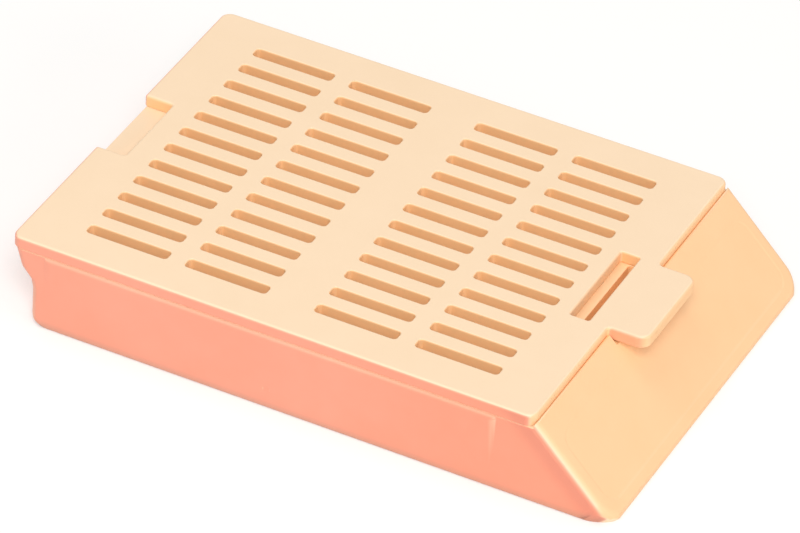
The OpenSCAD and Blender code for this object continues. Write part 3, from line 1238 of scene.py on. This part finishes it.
    def _plate_hollow(self) -> Solid:
        """Builds the hollow between the front wall and the writing plate, open underneath.

        Returns:
            The cutter.
        """
        sizes, below = self.sizes, -2
        top = sizes.rim_z - self.land_t
        inner_x = self.plate_back_x + sizes.plate_back_z - self.plate_t * math.sqrt(2)
        outline = Outline.of_corners([
            (self.front_wall_x, below, 0.5), (inner_x - below, below, 0.5), (inner_x - top, top, 0.4),
            (self.front_wall_x, top, 0.4),
        ])
        return Solid.across(outline, sizes.half_width - sizes.wall_t, 0.3)

    def _hinge_window(self) -> Solid:
        """Builds the round space that the lid's hook turns in, with the bar left standing inside it.

        Returns:
            The cutter.
        """
        half, rim_z = self.sizes.notch_width / 2, self.sizes.rim_z
        bar = Solid.across(Outline.circle(0, rim_z, self.bar_r), half + 1)
        return Solid.across(Outline.circle(0, rim_z, self.window_r), half).cut(bar)

    def _latch_window(self) -> list[Solid]:
        """Builds the hole for the latch hook and the relief under the finger tab.

        Returns:
            The two cutters.
        """
        sizes, half, radius = self.sizes, self.sizes.latch_width / 2, self.latch_corner_r
        hole = Outline.plan(self.catch_x, self.latch_hole_x, half, radius)
        relief = Outline.plan(self.latch_hole_x - 0.05, sizes.length, half + self.tab_gap, radius)
        above = rounded_ends(sizes.rim_z - self.tab_relief, sizes.height + 1, 0.1, 0)
        return [
            Solid(hole.levels(flared_ends(sizes.rim_z - self.land_t, sizes.rim_z, self.rim_r))),
            Solid(relief.levels(above)),
        ]


@dataclass(frozen=True)
class Lid:
    """The lid moulding: slotted plate with a finger tab, hinge hook and latch hook."""

    sizes: CassetteSizes
    finish: AcetalFinish
    corner_r: float = 0.7
    top_r: float = 0.2
    under_r: float = 0.1
    notch_depth: float = 2.0
    notch_r: float = 0.2
    tab_corner_r: float = 0.8
    tab_root_r: float = 0.25
    latch_slot: float = 1.3
    latch_slot_r: float = 0.14
    latch_slot_corner_r: float = 0.15
    hook_t: float = 0.7
    hook_angle: float = 50.0
    hook_tip_r: float = 0.2
    hook_top_z: float = 0.4
    hook_edge_r: float = 0.05
    nose_x: float = 33.45
    nose_z: float = 4.4
    foot_z: float = 3.6
    foot_r: float = 0.15
    side_gap: float = 0.2
    overlap: float = 0.005

    def build(self) -> Thing:
        """Builds the lid.

        Returns:
            The finished piece.
        """
        sizes, rim_r = self.sizes, 0.1
        body = self._plate().cut(self._latch_slot())
        body.add(self._hinge_hook(), self._latch_hook())
        sizes.slots(rim_r).cut_into(body, sizes.rim_z, sizes.height, self.finish.material())
        lid = sizes.finisher().finish(body, "lid_moulding", is_lid=True)
        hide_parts("lid")
        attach(lid, "lid")
        return lid

    def _plate(self) -> Solid:
        """Builds the plate with its finger tab and its rear notch.

        Returns:
            The plate.
        """
        sizes, front = self.sizes, self.sizes.lid_length
        half, tab, notch = sizes.half_width, sizes.latch_width / 2, sizes.notch_width / 2
        near = [
            (0, -notch, self.notch_r), (0, -half, self.corner_r), (front, -half, self.corner_r),
            (front, -tab, self.tab_root_r), (sizes.tab_end, -tab, self.tab_corner_r),
        ]
        far = [(x, -y, radius) for x, y, radius in reversed(near)]
        inner = [(self.notch_depth, notch, self.notch_r), (self.notch_depth, -notch, self.notch_r)]
        outline = Outline.of_corners([*near[1:], *far, *inner, near[0]])
        return Solid(outline.levels(rounded_ends(sizes.rim_z, sizes.height, self.under_r, self.top_r)))

    def _latch_slot(self) -> Solid:
        """Builds the cutter of the latch slot behind the finger tab.

        Returns:
            The cutter.
        """
        sizes, half = self.sizes, self.sizes.latch_width / 2
        rear_x = sizes.leg_x - self.latch_slot
        outline = Outline.plan(rear_x, sizes.leg_x, half, self.latch_slot_corner_r)
        stations = flared_ends(sizes.rim_z, sizes.height, self.latch_slot_r, steps=6)
        return Solid(outline.levels(stations))

    def _hinge_hook(self) -> Solid:
        """Builds the hook that hangs from the notch's inner edge and reaches round under the hinge bar.

        Returns:
            The hook.
        """
        sizes, tip, edge, top = self.sizes, self.hook_tip_r, self.hook_edge_r, self.hook_top_z
        inner, outer = self.notch_depth + self.overlap, self.notch_depth + self.hook_t
        end = -self.hook_angle
        centres = []
        for reach in (inner + tip, outer - tip):
            angle = end + math.degrees(math.asin(tip / reach))
            turn = math.radians(angle)
            centres.append((angle, reach * math.cos(turn), reach * math.sin(turn)))
        (inner_angle, *inner_tip), (outer_angle, *outer_tip) = centres
        outline = Outline.of_arcs([
            Arc(*outer_tip, tip, end - 90, outer_angle),
            Arc(0, 0, outer, outer_angle, 0),
            Arc(outer - edge, top, edge, 0, 90),
            Arc(inner + edge, top, edge, 90, 180),
            Arc(0, 0, -inner, 180, 180 + inner_angle),
            Arc(*inner_tip, tip, 180 + inner_angle, 270 + end),
        ])
        return Solid.across(outline, sizes.notch_width / 2 - self.side_gap, 0.04, lift=sizes.rim_z)

    def _latch_hook(self) -> Solid:
        """Builds the hook that snaps under the tray's catch.

        Returns:
            The hook.
        """
        sizes = self.sizes
        back_x, leg_x, top_z = sizes.leg_x + self.hook_t, sizes.leg_x + self.overlap, sizes.rim_z + 0.3
        outline = Outline.of_corners([
            (back_x, self.foot_z, self.foot_r), (back_x, top_z, 0.1), (leg_x, top_z, 0.1),
            (leg_x, self.nose_z, 0.08), (self.nose_x, self.nose_z, 0.1),
            (sizes.leg_x, self.foot_z, self.foot_r),
        ])
        return Solid.across(outline, sizes.latch_width / 2 - self.side_gap, 0.06)


# ---- Studio ----


@dataclass(frozen=True)
class Stand:
    """A stand round the cassette: azimuth from the front, elevation and roll in degrees."""

    azimuth: float
    elevation: float
    distance: float
    roll: float = 0.0

    def hold(self, name: str, data: bpy.types.ID, aim: Vector) -> Thing:
        """Puts a lamp or a camera on the stand.

        Args:
            name: The name of the lamp or camera.
            data: Its settings.
            aim: The point that it looks at.

        Returns:
            Its object, in the scene.
        """
        a, e = math.radians(self.azimuth), math.radians(self.elevation)
        back = Vector((math.sin(a) * math.cos(e), -math.cos(a) * math.cos(e), math.sin(e)))
        held = in_scene(name, data)
        held.location = aim + back * self.distance
        held.rotation_mode = "QUATERNION"
        roll = Matrix.Rotation(math.radians(self.roll), 3, back).to_quaternion()
        held.rotation_quaternion = roll @ back.to_track_quat("Z", "Y")
        return held


@dataclass(frozen=True)
class Lamp:
    """A square softbox that lights the cassette at a stated level."""

    name: str
    stand: Stand
    size: float
    level: float

    def place(self, aim: Vector) -> None:
        """Adds the lamp.

        Args:
            aim: The point that it looks at.
        """
        data = bpy.data.lights.new(self.name, "AREA")
        data.shape = "SQUARE"
        data.size = self.size
        # A level of 1 shows a white face that looks straight at the lamp as white
        data.energy = self.level * (math.pi * self.stand.distance) ** 2
        self.stand.hold(self.name, data, aim)


@dataclass(frozen=True)
class Studio:
    """Pale floor, soft light and camera."""

    aim: Vector = field(default_factory=lambda: Vector((-0.00026, -0.00107, 0.0033)))
    tripod: Stand = Stand(24.37, 36.74, 0.4153, roll=3.87)
    lens: float = 301.4
    sensor: float = 36
    clip: Span = (0.01, 20)
    sky_level: float = 0.35
    floor_size: float = 3.0
    floor_gap: float = 0.00002
    bounce_colour: Colour = (0.9, 0.89, 0.88, 1)
    veil_colour: Colour = (0.75, 0.74, 0.72, 1)
    floor_glow: float = 0.28
    lamps: tuple[Lamp, ...] = (
        Lamp("overhead_softbox", Stand(azimuth=-90, elevation=70, distance=0.6), size=0.3, level=0.22),
        Lamp("front_softbox", Stand(azimuth=24, elevation=48, distance=0.7), size=0.3, level=0.61),
        Lamp("low_fill", Stand(azimuth=75, elevation=14, distance=0.7), size=0.4, level=0.23),
    )

    def build(self) -> None:
        """Builds the camera, the sky, the floor and the lamps."""
        self._camera()
        self._sky()
        self._floor()
        for lamp in self.lamps:
            lamp.place(self.aim)

    def _camera(self) -> None:
        """Places the camera that the scene is seen through."""
        data = bpy.data.cameras.new("camera")
        data.lens = self.lens
        data.sensor_width = self.sensor
        data.clip_start, data.clip_end = self.clip
        bpy.context.scene.camera = self.tripod.hold("camera", data, self.aim)

    @staticmethod
    def _seen(build: TreeBuilder) -> Socket:
        """Tells the rays that show a surface to the camera, directly or in a reflection, from others.

        Args:
            build: Builder of the tree that asks.

        Returns:
            1 for such rays, or 0.
        """
        path = build.add("ShaderNodeLightPath").outputs
        seen = build.math("MAXIMUM", path["Is Camera Ray"], path["Is Glossy Ray"])
        return build.math("MAXIMUM", seen, path["Is Transmission Ray"])

    def _sky(self) -> None:
        """Builds an even white sky that looks pure white to the camera."""
        world = bpy.data.worlds.new("white_sky")
        build = TreeBuilder.emptied(world)
        strength = build.shade("MapRange", {"Value": self._seen(build), 3: self.sky_level, 4: 1.0})
        sky = build.shade("Background", {"Color": WHITE, "Strength": strength})
        build.add("ShaderNodeOutputWorld", {"Surface": sky})
        bpy.context.scene.world = world

    def _floor(self) -> None:
        """Builds the floor, which looks white and keeps the cassette's soft shadow."""
        floor = in_scene("floor", bpy.data.meshes.new("floor"))
        shape = bmesh.new()
        bmesh.ops.create_grid(shape, x_segments=4, y_segments=4, size=self.floor_size / 2)
        shape.to_mesh(floor.data)
        shape.free()
        floor.data.transform(Matrix.Translation((0, 0, -self.floor_gap)))
        material = bpy.data.materials.new("pale_floor")
        build = TreeBuilder.emptied(material)
        bounce = build.shade("BsdfDiffuse", {"Color": self.bounce_colour})
        veil = build.shade("BsdfDiffuse", {"Color": self.veil_colour})
        glow = build.shade("Emission", {"Color": WHITE, "Strength": self.floor_glow})
        shown = build.shade("AddShader", {0: veil, 1: glow})
        mixed = build.shade("MixShader", {0: self._seen(build), 1: bounce, 2: shown})
        below = build.add("ShaderNodeNewGeometry").outputs["Backfacing"]
        clear = build.shade("BsdfTransparent")
        sided = build.shade("MixShader", {0: below, 1: mixed, 2: clear})
        build.add("ShaderNodeOutputMaterial", {"Surface": sided})
        floor.data.materials.append(material)


def main() -> None:
    """Builds the studio, the tray and the lid, and reports each piece."""
    logging.basicConfig(level=logging.INFO, format="%(name)s: %(message)s")
    bpy.context.scene.view_settings.view_transform = "Standard"
    Studio().build()
    sizes = CassetteSizes.from_frame()
    effects = (SharedEffects.resin_tone(), SharedEffects.mould_skin())
    pieces = [
        Tray(sizes, AcetalFinish("tray_acetal", *effects)).build(),
        Lid(sizes, AcetalFinish("lid_acetal", *effects)).build(),
    ]


if __name__ == "__main__":
    main()
